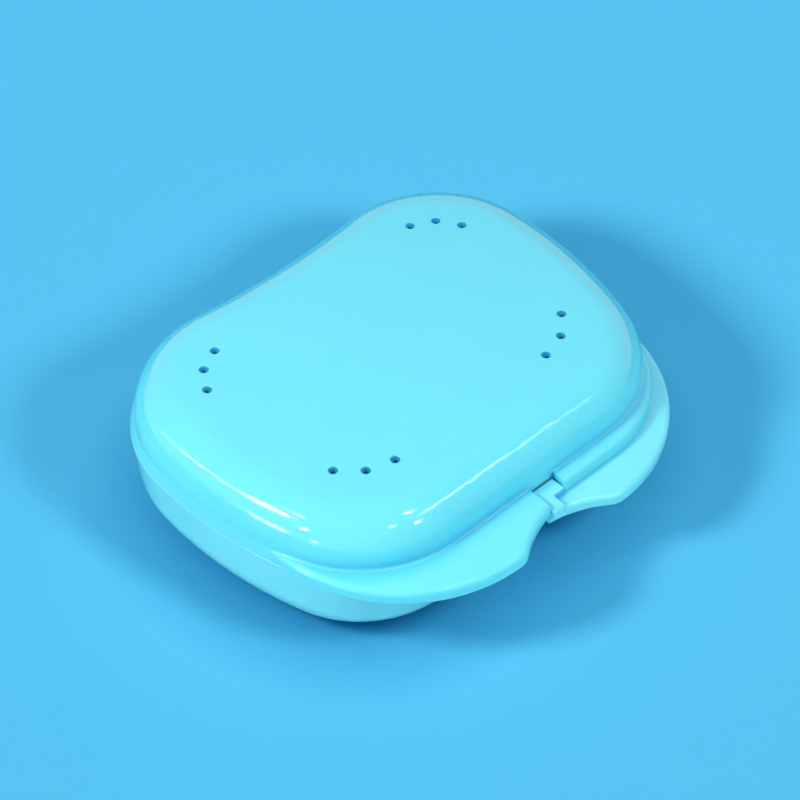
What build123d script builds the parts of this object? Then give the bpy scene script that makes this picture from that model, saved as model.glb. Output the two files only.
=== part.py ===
"""Hinged, vented case for a denture or a dental retainer: base, lid and hinge pin.

Millimetres, +Z up. The origin is the middle of the case's footprint, on the surface that it stands on.
The front, with the two thumb tabs, faces -Y. The hinge is at +Y.
"""
import os
from math import cos, radians, sin, sqrt, tan

from build123d import *

# ---- Plan outline of the rim, where lid and base meet ----
half_width = 42.3           # centre plane to the widest point of the side
widest_y = 8.7              # how far back the side is widest
side_radius = 76.5          # bow of each side
front_y = -32.4             # straight front edge
front_corner_radius = 22.6
back_middle_y = 34.9        # deepest point of the hollow back edge
back_corner_y = 39.4        # where back and sides would meet if their corners were sharp
back_corner_radius = 23.2

# ---- Base ----
base_height = 17.0          # table to parting plane
base_draft = 5.7            # degrees
base_front_lean = 4.8       # how much further in the front wall is at the table
base_bottom_radius = 10.6
base_wall = 1.8
base_edge_radius = 0.15
floor_thickness = 1.8
tongue_height = 0.8         # lip that rises inside the lid's rim

# ---- Lid ----
lid_height = 10.4           # parting plane to the flat top
lid_wall = 1.5
rim_height = 2.4            # the rim round the lid's foot, a bead at the front and back
rim_skin = 1.0              # the rim's outer wall, outside the base's tongue
rim_radius = 1.1
rim_lower_radius = 0.15
rim_draw = 0.2              # how far the rim leans in over its height, at the front and back
rim_tuck = 0.12             # at the sides it leans in until it is under the dome, by this much
dome_draft = 1.0            # degrees
dome_radius = 7.45          # shoulder between the side and the top
dome_side_step = 0.8        # from the rim in to the dome, at the parting plane
dome_front_step = 3.05
dome_back_step = 1.4
foot_radius = 0.5           # hollow fillet between rim and dome
parting_gap = 0.04
tongue_clearance = 0.15     # tongue to lid, sideways
tongue_headroom = 0.25      # tongue to lid, upwards

# ---- Thumb tabs: one on the lid at -X, its mirror image on the base at +X ----
tab_thickness = 2.3
tab_radius = 27.68          # of its round outer edge
tab_side_setback = 0.39     # from the case's side in to the round edge, level with its centre
tab_reach = 6.48            # how far it stands out past the front edge
tab_lobe_length = 2.3       # along the rim, of the small lobe where the round edge ends
tab_lobe_rise = 0.75        # how far the lobe turns back in
tab_root_x = -0.6           # the hollow edge ends past the centre plane
tab_root_reach = 1.8        # and still this far out past the front edge
tab_edge_radius = 0.85
tab_under_radius = 0.35
tab_tuck_angle = 20.0       # the round edge runs on this far, into the case's side

# ---- Catch: an L-shaped block on the base that fills a notch in the lid's bead ----
catch_left_x = -0.65
catch_length = 5.05         # along the rim
catch_rib_width = 2.6       # the leg that runs out over the tab
catch_rib_reach = 2.7       # how far the leg runs out past the rim
catch_height = 1.25
catch_depth = 0.35          # how far it goes down into the base's wall and tab
catch_gap = 0.2
catch_edge_radius = 0.2
catch_toe_radius = 0.6      # round over the leg's outer end

# ---- Vent holes: three at each corner, on an arc that follows the corner ----
vent_diameter = 1.55
vents_per_corner = 3
vent_edge = 0.1             # small bevel round each hole
back_vent_centre = (20.1, 13.7)
back_vent_radius = 9.0
back_vent_angles = (18.6, 77.9)
front_vent_centre = (16.25, -4.2)
front_vent_radius = 11.2
front_vent_angles = (-86.8, -33.6)

# ---- Hinge ----
hinge_setback = 2.38        # middle of the back edge to the hinge axis
hinge_drop = 3.0            # parting plane to the hinge axis
pin_diameter = 1.5
pin_fit = 0.06              # radial clearance in the lid's knuckle
pin_grip = 0.02             # radial interference in the base's knuckles
pin_recess = 0.3            # pin ends lie this far inside the knuckles
pin_chamfer = 0.2
knuckle_radius = 1.6
lid_knuckle_width = 12.0
base_knuckle_width = 5.0
knuckle_gap = 0.25
knuckle_web_drop = 4.5      # how far the base's webs run down the wall below the axis
knuckle_arm_angle = 37.0    # degrees above level, where the arm's outer face meets the lid's knuckle

# ---- Places worked out from the sizes above ----
lid_bottom = base_height + parting_gap
rim_top = lid_bottom + rim_height
case_height = base_height + lid_height
tongue_inset = rim_skin + tongue_clearance
hinge_y = back_middle_y + hinge_setback
hinge_z = base_height - hinge_drop
pin_radius = pin_diameter / 2
base_knuckle_x = (lid_knuckle_width + base_knuckle_width) / 2 + knuckle_gap
hinge_width = lid_knuckle_width + 2 * (knuckle_gap + base_knuckle_width)
dome_front_y = front_y + dome_front_step


def side_x(y, inset=0.0):
    """Half width of the case at y, before its corners are rounded."""
    radius = side_radius - inset
    return half_width - side_radius + sqrt(radius**2 - (y - widest_y) ** 2)


tab_centre_y = front_y - tab_reach + tab_radius
tab_centre = (side_x(tab_centre_y) - tab_side_setback - tab_radius, tab_centre_y)


def case_face(side, front, back):
    """Plan outline of the case, stepped in from the rim at its sides, front and back."""
    front_edge = front_y + front
    back_edge = back_corner_y - back
    widest = (half_width - side, widest_y)
    front_corner = (side_x(front_edge, side), front_edge)
    back_corner = (side_x(back_edge, side), back_edge)
    with BuildSketch() as face:
        with BuildLine():
            Line((-front_corner[0], front_edge), front_corner)
            ThreePointArc(front_corner, widest, back_corner)
            ThreePointArc(back_corner, (0, back_middle_y - back), (-back_corner[0], back_edge))
            ThreePointArc((-back_corner[0], back_edge), (-widest[0], widest_y), (-front_corner[0], front_edge))
        make_face()
        fillet(face.vertices().group_by(Axis.Y)[-1], back_corner_radius - back)
        fillet(face.vertices().group_by(Axis.Y)[0], front_corner_radius - side)
    return face.sketch


def rim_face(inset=0.0):
    """The rim's own outline, drawn in evenly by inset."""
    return case_face(inset, inset, inset)


def bowl_face(z, inset=0.0):
    """The base's outline at height z, drawn in evenly by inset."""
    depth = base_height - z
    drawn_in = inset + depth * tan(radians(base_draft))
    return case_face(drawn_in, drawn_in + base_front_lean * depth / base_height, drawn_in)


def dome_face(z, inset=0.0):
    """The dome's outline at height z, before its shoulder is rounded, drawn in evenly by inset."""
    drawn_in = inset + (z - base_height) * tan(radians(dome_draft))
    return case_face(dome_side_step + drawn_in, dome_front_step + drawn_in, dome_back_step + drawn_in)


def tab_face():
    """Plan of the tab at +X: a round outer edge, a small lobe and a hollow run back to the centre."""
    with BuildSketch() as face:
        with BuildLine():
            edge = CenterArc(tab_centre, tab_radius, tab_tuck_angle, -90 - tab_tuck_angle)
            lobe = TangentArc(edge @ 1, edge @ 1 + (-tab_lobe_length, tab_lobe_rise), tangent=edge % 1)
            hollow = TangentArc(lobe @ 1, (tab_root_x, front_y - tab_root_reach), tangent=lobe % 1)
            Polyline(hollow @ 1, (tab_root_x, dome_front_y), tab_centre, edge @ 0)
        make_face()
    return face.sketch


def knuckle_face(bore_radius, arm):
    """Side view of a hinge knuckle and the arm or web that carries it, drawn in the YZ plane."""
    with BuildSketch() as face:
        with BuildLine():
            Polyline(*arm, close=True)
        make_face()
        with Locations((hinge_y, hinge_z)):
            Circle(knuckle_radius)
            Circle(bore_radius, mode=Mode.SUBTRACT)
    return face.sketch


# ---- Base: drafted bowl with a tongue, one thumb tab, the catch and two hinge knuckles ----
with BuildPart() as base_tab:
    with BuildSketch(Plane.XY.offset(base_height - tab_thickness)):
        add(tab_face())
    extrude(amount=tab_thickness)
    fillet(base_tab.faces().sort_by(Axis.Z)[-1].edges().filter_by(GeomType.CIRCLE), tab_edge_radius)
    fillet(base_tab.faces().sort_by(Axis.Z)[0].edges().filter_by(GeomType.CIRCLE), tab_under_radius)

with BuildPart() as base_hollow:
    for z in (base_height, floor_thickness):
        with BuildSketch(Plane.XY.offset(z)):
            add(bowl_face(z, base_wall))
    loft(ruled=True)
    fillet(base_hollow.faces().sort_by(Axis.Z)[0].edges(), base_bottom_radius - base_wall)

with BuildPart() as catch:
    catch_back_y = dome_front_y - catch_gap
    catch_toe_y = front_y - catch_rib_reach
    with BuildSketch(Plane.XY.offset(base_height - catch_depth)):
        with Locations((catch_left_x, catch_back_y)):
            Rectangle(catch_length, catch_back_y - front_y, align=(Align.MIN, Align.MAX))
            Rectangle(catch_rib_width, catch_back_y - catch_toe_y, align=(Align.MIN, Align.MAX))
    extrude(amount=catch_depth + catch_height)
    fillet(catch.edges().group_by(Axis.Z)[-1].sort_by(Axis.Y)[0], catch_toe_radius)
    fillet(catch.edges().group_by(Axis.Z)[-1], catch_edge_radius)

with BuildPart() as base:
    for z in (base_height, 0):
        with BuildSketch(Plane.XY.offset(z)):
            add(bowl_face(z))
    loft(ruled=True)
    fillet(base.faces().sort_by(Axis.Z)[0].edges(), base_bottom_radius)
    fillet(base.faces().sort_by(Axis.Z)[-1].edges(), base_edge_radius)
    add(base_tab.part)
    web_root_y = back_middle_y - base_wall
    web = [
        (hinge_y, hinge_z + knuckle_radius),
        (web_root_y, hinge_z + knuckle_radius),
        (web_root_y, hinge_z - knuckle_web_drop),
        (hinge_y, hinge_z - knuckle_radius),
    ]
    for x in (-base_knuckle_x, base_knuckle_x):
        with BuildSketch(Plane.YZ.offset(x - base_knuckle_width / 2)):
            add(knuckle_face(pin_radius - pin_grip, web))
        extrude(amount=base_knuckle_width)
    add(base_hollow.part, mode=Mode.SUBTRACT)
    with BuildSketch(Plane.XY.offset(base_height)):
        add(rim_face(tongue_inset))
        add(rim_face(base_wall), mode=Mode.SUBTRACT)
    extrude(amount=tongue_height)
    add(catch.part)
base.part.label = "base"

# ---- Lid: domed shell with a rim, the other thumb tab, vents and the middle knuckle ----
with BuildPart() as lid_tab:
    with BuildSketch(Plane.XY.offset(lid_bottom)):
        mirror(tab_face(), about=Plane.YZ)
    extrude(amount=rim_height)
    fillet(lid_tab.faces().sort_by(Axis.Z)[-1].edges().filter_by(GeomType.CIRCLE), rim_radius)
    fillet(lid_tab.faces().sort_by(Axis.Z)[0].edges().filter_by(GeomType.CIRCLE), rim_lower_radius)

with BuildPart() as lid_hollow:
    for z in (lid_bottom, case_height - lid_wall):
        with BuildSketch(Plane.XY.offset(z)):
            add(dome_face(z, lid_wall))
    loft(ruled=True)
    fillet(lid_hollow.faces().sort_by(Axis.Z)[-1].edges(), dome_radius - lid_wall)
    with BuildSketch(Plane.XY.offset(lid_bottom)):
        add(rim_face(rim_skin))
    extrude(amount=tongue_height + tongue_headroom)

with BuildPart() as lid:
    with BuildSketch(Plane.XY.offset(lid_bottom)):
        add(rim_face())
    with BuildSketch(Plane.XY.offset(rim_top)):
        add(case_face(dome_side_step + rim_tuck, rim_draw, rim_draw))
    loft(ruled=True)
    fillet(lid.faces().sort_by(Axis.Z)[-1].edges(), rim_radius)
    fillet(lid.faces().sort_by(Axis.Z)[0].edges(), rim_lower_radius)
    add(lid_tab.part)
    for z in (lid_bottom, case_height):
        with BuildSketch(Plane.XY.offset(z)):
            add(dome_face(z))
    loft(ruled=True)
    foot = lid.edges(Select.NEW).filter_by(lambda edge: lid_bottom < edge.center().Z < rim_top + foot_radius)
    fillet(lid.faces().sort_by(Axis.Z)[-1].edges(), dome_radius)
    fillet(foot, foot_radius)
    add(lid_hollow.part, mode=Mode.SUBTRACT)
    notch_width = catch_length + 2 * catch_gap
    notch_depth = dome_front_step + tab_reach
    with BuildSketch(Plane.XY.offset(base_height)):
        with Locations((catch_left_x - catch_gap, dome_front_y)):
            Rectangle(notch_width, notch_depth, align=(Align.MIN, Align.MAX))
    extrude(amount=rim_height + rim_radius, mode=Mode.SUBTRACT)
    arm_angle = radians(knuckle_arm_angle)
    arm = [
        (hinge_y - knuckle_radius, hinge_z),
        (hinge_y - knuckle_radius, lid_bottom),
        (back_middle_y - rim_skin / 2, lid_bottom),
        (back_middle_y - rim_skin / 2, rim_top - rim_radius),
        (back_middle_y + rim_lower_radius, rim_top - rim_radius),
        (hinge_y + knuckle_radius * cos(arm_angle), hinge_z + knuckle_radius * sin(arm_angle)),
        (hinge_y, hinge_z),
    ]
    with BuildSketch(Plane.YZ.offset(-lid_knuckle_width / 2)):
        add(knuckle_face(pin_radius + pin_fit, arm))
    extrude(amount=lid_knuckle_width)
    with BuildSketch(Plane.XY.offset(case_height)):
        for side in (-1, 1):
            for centre, radius, angles in (
                (back_vent_centre, back_vent_radius, back_vent_angles),
                (front_vent_centre, front_vent_radius, front_vent_angles),
            ):
                for step in range(vents_per_corner):
                    angle = angles[0] + (angles[1] - angles[0]) * step / (vents_per_corner - 1)
                    vent = Vector(*centre) + Vector(radius, 0).rotate(Axis.Z, angle)
                    with Locations((side * vent.X, vent.Y)):
                        Circle(vent_diameter / 2)
    extrude(amount=-2 * lid_wall, mode=Mode.SUBTRACT)
    chamfer(lid.faces().sort_by(Axis.Z)[-1].inner_wires().edges(), vent_edge)
lid.part.label = "lid"

# ---- Hinge pin: plain rod, gripped by the base's two knuckles, running in the lid's ----
with BuildPart() as hinge_pin:
    with BuildSketch(Plane.YZ.offset(-hinge_width / 2 + pin_recess)):
        with Locations((hinge_y, hinge_z)):
            Circle(pin_radius)
    extrude(amount=hinge_width - 2 * pin_recess)
    chamfer(hinge_pin.edges(), pin_chamfer)
hinge_pin.part.label = "hinge_pin"

os.makedirs("parts", exist_ok=True)
export_step(base.part, "parts/base.step")
export_step(lid.part, "parts/lid.step")
export_step(hinge_pin.part, "parts/hinge_pin.step")
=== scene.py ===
import math

import bpy
from mathutils import Matrix, Vector

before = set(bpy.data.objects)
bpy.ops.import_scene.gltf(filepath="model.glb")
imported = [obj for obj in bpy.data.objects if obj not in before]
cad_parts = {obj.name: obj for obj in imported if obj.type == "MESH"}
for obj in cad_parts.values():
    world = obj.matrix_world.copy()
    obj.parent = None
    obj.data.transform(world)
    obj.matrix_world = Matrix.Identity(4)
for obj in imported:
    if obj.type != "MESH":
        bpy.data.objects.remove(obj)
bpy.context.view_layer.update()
scene = bpy.context.scene
scene.view_settings.view_transform = "Standard"
MM = 0.001


# ---- Camera ----
# Stands in front and to the left of the case, and looks down at the lid with a long lens.
# Its place and axes are in the part's own frame, with the case's front towards -Y.
CAMERA_PLACE = Vector((-207.9, -221.8, 336.3)) * MM
CAMERA_RIGHT = Vector((0.7302, -0.6833, -0.0026))
CAMERA_UP = Vector((0.4962, 0.5276, 0.6895))
FOCAL_PIXELS = 2650
PICTURE_PIXELS = 800
SENSOR_MM = 36
NEAREST_SEEN = 10 * MM

camera = bpy.data.objects.new("camera", bpy.data.cameras.new("camera"))
scene.collection.objects.link(camera)
camera.data.sensor_width = SENSOR_MM
camera.data.lens = FOCAL_PIXELS / PICTURE_PIXELS * SENSOR_MM
camera.data.clip_start = NEAREST_SEEN
backwards = CAMERA_RIGHT.cross(CAMERA_UP)
camera_axes = Matrix((CAMERA_RIGHT, CAMERA_UP, backwards)).transposed()
camera.matrix_world = Matrix.Translation(CAMERA_PLACE) @ camera_axes.to_4x4()
scene.camera = camera


# ---- Lamps ----
# Two soft boxes stand close by, one in front and one at the left, and throw the two soft shadows.
# Slim strips and small panels further off only show as streaks and glints in the gloss.
class Signal:
    """A value socket that takes part in arithmetic."""

    def __init__(self, maker, socket):
        self.maker = maker
        self.socket = socket

    def combine(self, operation, first, second):
        node = self.maker.node("ShaderNodeMath", {"operation": operation}, {0: first, 1: second})
        return Signal(self.maker, node.outputs[0])

    def __add__(self, other):
        return self.combine("ADD", self, other)

    def __sub__(self, other):
        return self.combine("SUBTRACT", self, other)

    def __rsub__(self, other):
        return self.combine("SUBTRACT", other, self)

    def __mul__(self, other):
        return self.combine("MULTIPLY", self, other)

    def __truediv__(self, other):
        return self.combine("DIVIDE", self, other)

    def __rtruediv__(self, other):
        return self.combine("DIVIDE", other, self)

    __radd__ = __add__
    __rmul__ = __mul__


class Finish:
    """The nodes of a material, a lamp or the world: each with its settings first and then its inputs."""

    def __init__(self, owner):
        owner.use_nodes = True
        self.tree = owner.node_tree
        self.tree.nodes.clear()

    def node(self, kind, settings=None, inputs=None):
        node = self.tree.nodes.new(kind)
        for name, value in (settings or {}).items():
            setattr(node, name, value)
        for name, value in (inputs or {}).items():
            socket = node.inputs[name]
            if isinstance(value, Signal):
                self.tree.links.new(value.socket, socket)
            elif isinstance(value, bpy.types.NodeSocket):
                self.tree.links.new(value, socket)
            else:
                socket.default_value = value
        return node

    def signal(self, kind, output, settings=None, inputs=None):
        return Signal(self, self.node(kind, settings, inputs).outputs[output])

    def vector(self, operation, first, second):
        node = self.node("ShaderNodeVectorMath", {"operation": operation}, {0: first, 1: second})
        return node.outputs["Vector"]

    def measure(self, operation, first, second):
        inputs = {0: first, 1: second}
        return self.signal("ShaderNodeVectorMath", "Value", {"operation": operation}, inputs)

    def times(self, factor, colour):
        inputs = {0: colour, "Scale": factor}
        return self.node("ShaderNodeVectorMath", {"operation": "SCALE"}, inputs).outputs["Vector"]

    def place(self, stretch=(1, 1, 1)):
        """Object coordinates, stretched along each axis."""
        coordinates = self.node("ShaderNodeTexCoord").outputs["Object"]
        return self.node("ShaderNodeMapping", {}, {"Vector": coordinates, "Scale": stretch}).outputs[0]

    def noise(self, size, stretch=(1, 1, 1), detail=2.0):
        """Soft noise from 0 to 1 whose grains are about size metres across."""
        inputs = {"Vector": self.place(stretch), "Scale": 1 / size, "Detail": detail}
        return self.signal("ShaderNodeTexNoise", "Fac", {}, inputs)

    def mix(self, factor, first, second):
        inputs = {"Factor": factor, "A": first, "B": second}
        return self.node("ShaderNodeMix", {"data_type": "RGBA"}, inputs).outputs["Result"]

    def openness(self, reach, own=True):
        """1 on open surfaces, falling towards 0 in creases and holes within reach.

        They are the piece's own, which suits every pose, or those between any pieces.
        """
        settings = {"samples": 4, "only_local": own}
        return self.signal("ShaderNodeAmbientOcclusion", "AO", settings, {"Distance": reach})

    def seen(self):
        """1 where seen by the camera, in a gloss or through glass, and 0 where it only gives light."""
        path = self.node("ShaderNodeLightPath").outputs
        camera_ray, glossy_ray, transmission_ray = (
            Signal(self, path[kind]) for kind in ("Is Camera Ray", "Is Glossy Ray", "Is Transmission Ray")
        )
        return camera_ray + glossy_ray + transmission_ray


def from_angles(azimuth, elevation):
    """Unit vector towards an azimuth, counted from the front (-Y) to +X, and an elevation, in degrees."""
    turn, rise = math.radians(azimuth), math.radians(elevation)
    return Vector((math.sin(turn) * math.cos(rise), -math.cos(turn) * math.cos(rise), math.sin(rise)))


def hang_lamp(name, place, along, size, watts):
    """A flat lamp that faces the origin, with its first side along a direction."""
    lamp = bpy.data.lights.new(name, "AREA")
    lamp.shape = "RECTANGLE"
    lamp.size, lamp.size_y = size
    lamp.energy = watts
    outwards = place.normalized()
    across = outwards.cross(along).normalized()
    axes = Matrix((across.cross(outwards), across, outwards)).transposed()
    box = bpy.data.objects.new(name, lamp)
    box.matrix_world = Matrix.Translation(place) @ axes.to_4x4()
    box.visible_camera = False
    scene.collection.objects.link(box)
    return box


# Each share is the part of the floor's full brightness that the lamp gives there, in red, green and blue.
SOFT_BOXES = {
    "front_box": {
        "azimuth": 9.1,
        "elevation": 47.3,
        "distance": 265 * MM,
        "side": 46 * MM,
        "share": (0.395, 0.320, 0.285),
    },
    "left_box": {
        "azimuth": -101.3,
        "elevation": 46.2,
        "distance": 251 * MM,
        "side": 50 * MM,
        "share": (0.580, 0.465, 0.425),
    },
}
soft_boxes = []
for name, box in SOFT_BOXES.items():
    towards = from_angles(box["azimuth"], box["elevation"])
    reach = box["distance"]
    strongest = max(box["share"])
    # With this power, a white matt floor at the origin would give back the lamp's share.
    watts = strongest * math.pi**2 * reach**2 / towards.z
    lamp = hang_lamp(name, towards * reach, Vector((0, 0, 1)), (box["side"], box["side"]), watts)
    lamp.data.color = [part / strongest for part in box["share"]]
    glow = Finish(lamp.data)
    even = glow.node("ShaderNodeLightFalloff", {}, {"Strength": 1 / reach})
    emission = glow.node("ShaderNodeEmission", {}, {"Strength": even.outputs["Linear"]})
    glow.node("ShaderNodeOutputLight", {}, {"Surface": emission.outputs[0]})
    lamp.visible_glossy = False
    soft_boxes.append((lamp, box["share"]))

# Each strip runs from one direction to another, as azimuth and elevation in whole degrees, at one
# distance from the case. Its brightness counts white as 1.
GLOSS_DISTANCE = 600 * MM
STRIPS = {
    "front_strip_start": {"start": (15, 53), "end": (36, 50), "width": 24 * MM, "brightness": 12},
    "front_strip": {"start": (36, 50), "end": (41, 45), "width": 24 * MM, "brightness": 11},
    "front_strip_end": {"start": (41, 45), "end": (42, 40), "width": 24 * MM, "brightness": 4},
    "left_strip_end": {"start": (-136, 20), "end": (-128, 25), "width": 24 * MM, "brightness": 4},
    "left_strip": {"start": (-128, 25), "end": (-110, 34), "width": 24 * MM, "brightness": 11},
    "left_panel": {"start": (-110, 34), "end": (-101, 40), "width": 58 * MM, "brightness": 22},
    "low_left_panel": {"start": (-103, 6), "end": (-94, 7), "width": 60 * MM, "brightness": 10},
    "left_glint_high": {"start": (-104, 49), "end": (-105, 52), "width": 44 * MM, "brightness": 15},
    "left_glint": {"start": (-91, 32), "end": (-86, 32), "width": 48 * MM, "brightness": 20},
    "left_glint_low": {"start": (-78, 12), "end": (-75, 12), "width": 44 * MM, "brightness": 13},
    "middle_glint": {"start": (-53, 29), "end": (-51, 29), "width": 20 * MM, "brightness": 14},
    "front_glint_left": {"start": (-17, 51), "end": (-11, 51), "width": 48 * MM, "brightness": 16},
    "front_glint_top": {"start": (17, 67), "end": (28, 67), "width": 48 * MM, "brightness": 17},
    "front_glint_low": {"start": (3, 40), "end": (8, 40), "width": 46 * MM, "brightness": 20},
}
for name, look in STRIPS.items():
    start, end = (from_angles(*look[side]) * GLOSS_DISTANCE for side in ("start", "end"))
    size = (end - start).length, look["width"]
    watts = look["brightness"] * math.pi * size[0] * size[1]
    strip = hang_lamp(name, (start + end) / 2, end - start, size, watts)
    strip.visible_diffuse = False
    strip.visible_transmission = False

# The room gives a dim cool fill. Seen by the camera or in a gloss, its walls are pale, and greyer in front.
FILL_SHARE = (0.025, 0.215, 0.360)
WALL_PALE = (1.00, 1.00, 1.00)
WALL_GREY = (0.62, 0.70, 0.78)
GREY_SIDE = from_angles(15, 12)
GREY_BEGINS = 0.3
GREY_FULL = 0.95
world = bpy.data.worlds.new("studio")
scene.world = world
room = Finish(world)
direction = room.node("ShaderNodeTexCoord").outputs["Generated"]
facing = room.measure("DOT_PRODUCT", direction, GREY_SIDE)
greyer = room.signal(
    "ShaderNodeMapRange",
    "Result",
    {"interpolation_type": "SMOOTHSTEP"},
    {"Value": facing, "From Min": GREY_BEGINS, "From Max": GREY_FULL},
)
walls = room.mix(greyer, WALL_PALE + (1,), WALL_GREY + (1,))
fill_or_walls = room.mix(room.seen(), FILL_SHARE + (1,), walls)
background = room.node("ShaderNodeBackground", {}, {"Color": fill_or_walls})
room.node("ShaderNodeOutputWorld", {}, {"Surface": background.outputs[0]})


# ---- Floor ----
# A wide, plain, matt sheet that gives pale light back to the case, and is seen as sky blue.
# Its colour is evened out against the two soft boxes, so that it shows as one flat colour near the case.
# Close around the case it also carries a painted contact shadow, darker where the case nearly touches it.
# Further out than any shadow falls, it shows that same colour by itself.
FLOOR_HALF = 2.0
FLOOR_BLUE = (0.098, 0.552, 0.888)
FLOOR_PALE = (1.00, 0.91, 0.93)
SHADOWS_FADE = 0.18
SHADOWS_END = 0.25
# Painted shadow: within this reach of the case, the floor's seen colour is darkened towards this deep blue
# tint.
PAINTED_SHADOW_REACH = 15 * MM
PAINTED_SHADOW_TINT = (0.0, 0.24, 0.40)

floor_mesh = bpy.data.meshes.new("floor")
corners = [(-1, -1), (1, -1), (1, 1), (-1, 1)]
floor_mesh.from_pydata([(x * FLOOR_HALF, y * FLOOR_HALF, 0) for x, y in corners], [], [(0, 1, 2, 3)])
floor = bpy.data.objects.new("floor", floor_mesh)
scene.collection.objects.link(floor)
floor_material = bpy.data.materials.new("floor_sheet")
sheet = Finish(floor_material)
# Painted contact shadow: the floor darkens towards the tint where the case stands close over it.
painted_contact_shadow = sheet.mix(sheet.openness(PAINTED_SHADOW_REACH, own=False), PAINTED_SHADOW_TINT + (1,), (1, 1, 1, 1))
place = sheet.place()
level = FILL_SHARE
for lamp, share in soft_boxes:
    reach = lamp.location.length
    slant = 1 - sheet.measure("DOT_PRODUCT", place, lamp.location / reach**2)
    stretch = sheet.measure("DISTANCE", place, lamp.location) / reach
    fall = slant / (stretch * stretch * stretch)
    level = sheet.vector("ADD", sheet.times(fall, share), level)
evened_with_painted_shadow = sheet.vector("MULTIPLY", sheet.vector("DIVIDE", FLOOR_BLUE, level), painted_contact_shadow)
floor_colour_with_painted_shadow = sheet.mix(sheet.seen(), FLOOR_PALE + (1,), evened_with_painted_shadow)
matt = sheet.node("ShaderNodeBsdfDiffuse", {}, {"Color": floor_colour_with_painted_shadow})
far_out = sheet.signal(
    "ShaderNodeMapRange",
    "Result",
    {"interpolation_type": "SMOOTHSTEP"},
    {"Value": sheet.measure("DISTANCE", place, (0, 0, 0)), "From Min": SHADOWS_FADE, "From Max": SHADOWS_END},
)
plain = sheet.node("ShaderNodeEmission", {}, {"Color": FLOOR_BLUE + (1,), "Strength": 1})
inputs = {0: far_out * sheet.seen(), 1: matt.outputs[0], 2: plain.outputs[0]}
surface = sheet.node("ShaderNodeMixShader", {}, inputs)
sheet.node("ShaderNodeOutputMaterial", {}, {"Surface": surface.outputs[0]})
floor.data.materials.append(floor_material)


# ---- Moulding surface ----
# Both mouldings are glossy cyan plastic from polished steel moulds, so their skin is smooth all over
# and crisp only at true edges. The hinge pin gets the same smooth skin over its own steel.
def smooth_skin(name):
    """A node group that welds a mesh and shades it smooth except across edges sharper than an angle."""
    tree = bpy.data.node_groups.new(name, "GeometryNodeTree")
    tree.interface.new_socket("Geometry", in_out="INPUT", socket_type="NodeSocketGeometry")
    weld = tree.interface.new_socket("Weld Distance", in_out="INPUT", socket_type="NodeSocketFloat")
    crisp = tree.interface.new_socket("Crisp Angle", in_out="INPUT", socket_type="NodeSocketFloat")
    tree.interface.new_socket("Geometry", in_out="OUTPUT", socket_type="NodeSocketGeometry")
    nodes, links = tree.nodes, tree.links
    entry = nodes.new("NodeGroupInput")
    merge = nodes.new("GeometryNodeMergeByDistance")
    faces = nodes.new("GeometryNodeSetShadeSmooth")
    edges = nodes.new("GeometryNodeSetShadeSmooth")
    edges.domain = "EDGE"
    edges.inputs["Shade Smooth"].default_value = False
    angle = nodes.new("GeometryNodeInputMeshEdgeAngle")
    over = nodes.new("FunctionNodeCompare")
    exit_node = nodes.new("NodeGroupOutput")
    links.new(entry.outputs["Geometry"], merge.inputs["Geometry"])
    links.new(entry.outputs["Weld Distance"], merge.inputs["Distance"])
    links.new(merge.outputs["Geometry"], faces.inputs["Geometry"])
    links.new(faces.outputs["Geometry"], edges.inputs["Geometry"])
    links.new(angle.outputs["Unsigned Angle"], over.inputs[0])
    links.new(entry.outputs["Crisp Angle"], over.inputs[1])
    links.new(over.outputs[0], edges.inputs["Selection"])
    links.new(edges.outputs["Geometry"], exit_node.inputs["Geometry"])
    return tree, weld.identifier, crisp.identifier


SKIN, SKIN_WELD, SKIN_CRISP = smooth_skin("moulded_skin")
WELD_DISTANCE = 0.002 * MM
CRISP_ANGLE = math.radians(28)


def give_skin(node_object):
    modifier = node_object.modifiers.new("moulded_skin", "NODES")
    modifier.node_group = SKIN
    modifier[SKIN_WELD] = WELD_DISTANCE
    modifier[SKIN_CRISP] = CRISP_ANGLE
    weighted = node_object.modifiers.new("even_normals", "WEIGHTED_NORMAL")
    weighted.keep_sharp = True


# Painted shade: creases and holes within this reach are painted towards a deeper blue.
PAINTED_CREASE_SHADE_REACH = 4 * MM
PAINTED_CREASE_SHADE_BLUE = (0.0, 0.40, 0.85, 1)
CLOUD_SIZE = 14 * MM
RUB_SIZE = 0.6 * MM
RIPPLE_SIZE = 5 * MM
GRAIN_SIZE = 0.35 * MM
SMOOTHEST = 0.08
RUBBED_MORE = 0.08
GLOW_DEPTH = 2 * MM


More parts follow.
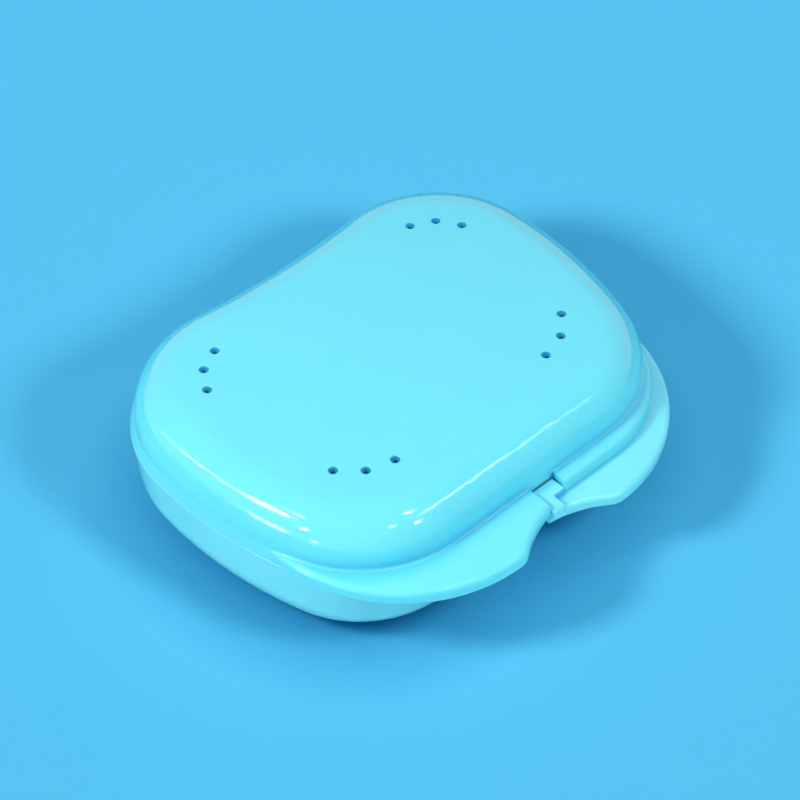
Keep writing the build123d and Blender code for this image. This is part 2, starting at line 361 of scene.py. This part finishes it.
def cyan_plastic(name, deep, pale):
    """Glossy cyan moulding, a little translucent, with painted shade that turns its creases and holes a
    deeper blue.

    There is faint clouding in the colour, fine rubbing marks in the gloss and a slight ripple.
    """
    material = bpy.data.materials.new(name)
    finish = Finish(material)
    cloud = finish.noise(CLOUD_SIZE, detail=3.0)
    rubbed = finish.noise(RUB_SIZE, stretch=(1, 0.25, 1), detail=4.0)
    ripple = finish.noise(RIPPLE_SIZE, detail=1.0)
    grain = finish.noise(GRAIN_SIZE, detail=2.0)
    uneven = ripple * 0.9 + grain * 0.1
    height = finish.node("ShaderNodeBump", {}, {"Strength": 0.12, "Distance": 0.02 * MM, "Height": uneven})
    clouded = finish.mix(cloud, deep, pale)
    shader = finish.node(
        "ShaderNodeBsdfPrincipled",
        {},
        {
            # Painted shade in the colour: creases and holes darken to a deeper blue.
            "Base Color": finish.mix(finish.openness(PAINTED_CREASE_SHADE_REACH), PAINTED_CREASE_SHADE_BLUE, clouded),
            "Roughness": rubbed * RUBBED_MORE + SMOOTHEST,
            "Normal": height.outputs[0],
            "IOR": 1.5,
            "Subsurface Weight": 0.35,
            "Subsurface Radius": (0.5, 1.0, 1.2),
            "Subsurface Scale": GLOW_DEPTH,
            "Coat Weight": 0.5,
            "Coat Roughness": 0.05,
        },
    )
    finish.node("ShaderNodeOutputMaterial", {}, {"Surface": shader.outputs[0]})
    return material


# ---- Base ----
# The lower bowl, injection moulded in cyan plastic, in one piece with its thumb tab, its catch
# and the two outer knuckles that hold the hinge pin.
BASE_DEEP = (0.172, 0.82, 0.98, 1)
BASE_PALE = (0.192, 0.85, 1.00, 1)

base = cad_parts["base"]
base.material_slots[0].material = cyan_plastic("base_plastic", BASE_DEEP, BASE_PALE)
give_skin(base)


# ---- Hinge pin ----
# A short length of drawn steel wire, pressed into the base's two knuckles.
# Its surface shows fine lines along its length from the drawing die.
DRAWN_LINE = 0.12 * MM
STEEL_DARK = (0.52, 0.52, 0.54, 1)
STEEL_BRIGHT = (0.68, 0.68, 0.69, 1)

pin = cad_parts["hinge_pin"]
pin_steel = bpy.data.materials.new("drawn_steel")
wire = Finish(pin_steel)
drawn = wire.noise(DRAWN_LINE, stretch=(0.03, 1, 1), detail=3.0)
scratches = wire.node("ShaderNodeBump", {}, {"Strength": 0.3, "Distance": 0.005 * MM, "Height": drawn})
wire_shader = wire.node(
    "ShaderNodeBsdfPrincipled",
    {},
    {
        "Base Color": wire.mix(drawn, STEEL_DARK, STEEL_BRIGHT),
        "Metallic": 1.0,
        "Roughness": drawn * 0.2 + 0.18,
        "Normal": scratches.outputs[0],
    },
)
wire.node("ShaderNodeOutputMaterial", {}, {"Surface": wire_shader.outputs[0]})
pin.material_slots[0].material = pin_steel
give_skin(pin)


# ---- Lid ----
# The upper shell, injection moulded in the same plastic, a little less pale. It carries the vents,
# its own thumb tab and the middle knuckle, which turns on the pin.
LID_DEEP = (0.130, 0.80, 0.98, 1)
LID_PALE = (0.146, 0.84, 1.00, 1)

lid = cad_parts["lid"]
lid.material_slots[0].material = cyan_plastic("lid_plastic", LID_DEEP, LID_PALE)
give_skin(lid)
